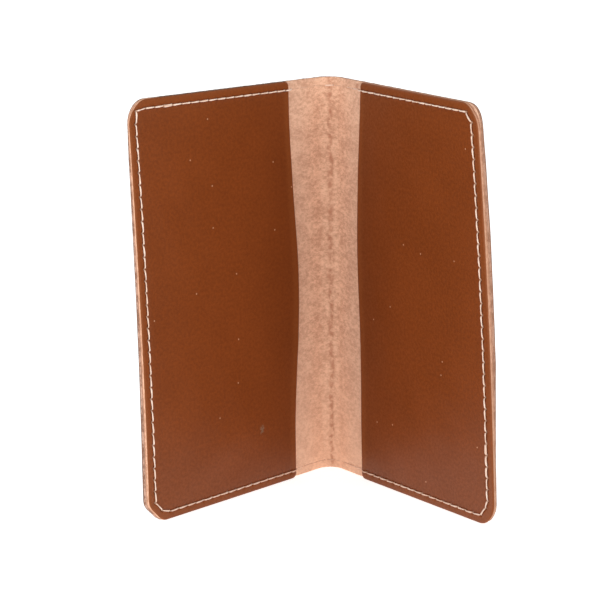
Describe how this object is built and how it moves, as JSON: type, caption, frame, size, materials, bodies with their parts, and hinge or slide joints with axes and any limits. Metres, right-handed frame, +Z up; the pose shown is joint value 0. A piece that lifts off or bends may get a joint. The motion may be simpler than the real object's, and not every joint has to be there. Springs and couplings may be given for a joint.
{
  "type": "passport holder",
  "caption": "Folded leather passport cover with a stitched slip pocket inside each half and a bare suede strip at the fold.",
  "frame": {"origin": "middle of the holder's footprint, on the surface that its bottom edges stand on", "axes": "+Z up along the fold, the holder opens towards -Y with its fold at the +Y side, +X to the right half, and it is symmetric about X = 0"},
  "size_m": [0.1164, 0.0738, 0.14],
  "materials": {
    "cover_leather": "vegetable-tanned leather, tan grain outside, pale suede flesh side inside, raw cut edges",
    "pocket_leather": "vegetable-tanned leather, smooth tan grain facing the reader, pale cut edges",
    "thread": "waxed cream thread"
  },
  "bodies": {
    "left_half": {"cover_left": "cover_leather", "spine": "cover_leather", "pocket_left": "pocket_leather", "face_stitch_left": "thread", "face_stitch_spine": "thread", "back_stitch_left": "thread", "back_stitch_spine": "thread"},
    "right_half": {"cover_right": "cover_leather", "pocket_right": "pocket_leather", "face_stitch_right": "thread", "back_stitch_right": "thread"}
  },
  "joints": [
    {"name": "fold", "type": "hinge", "parent": "left_half", "child": "right_half", "pos_m": [0, 0.03347, 0.07], "axis": [0, 0, 1], "range_deg": [-75, 105], "deforming": ["spine", "face_stitch_spine", "back_stitch_spine"]}
  ]
}
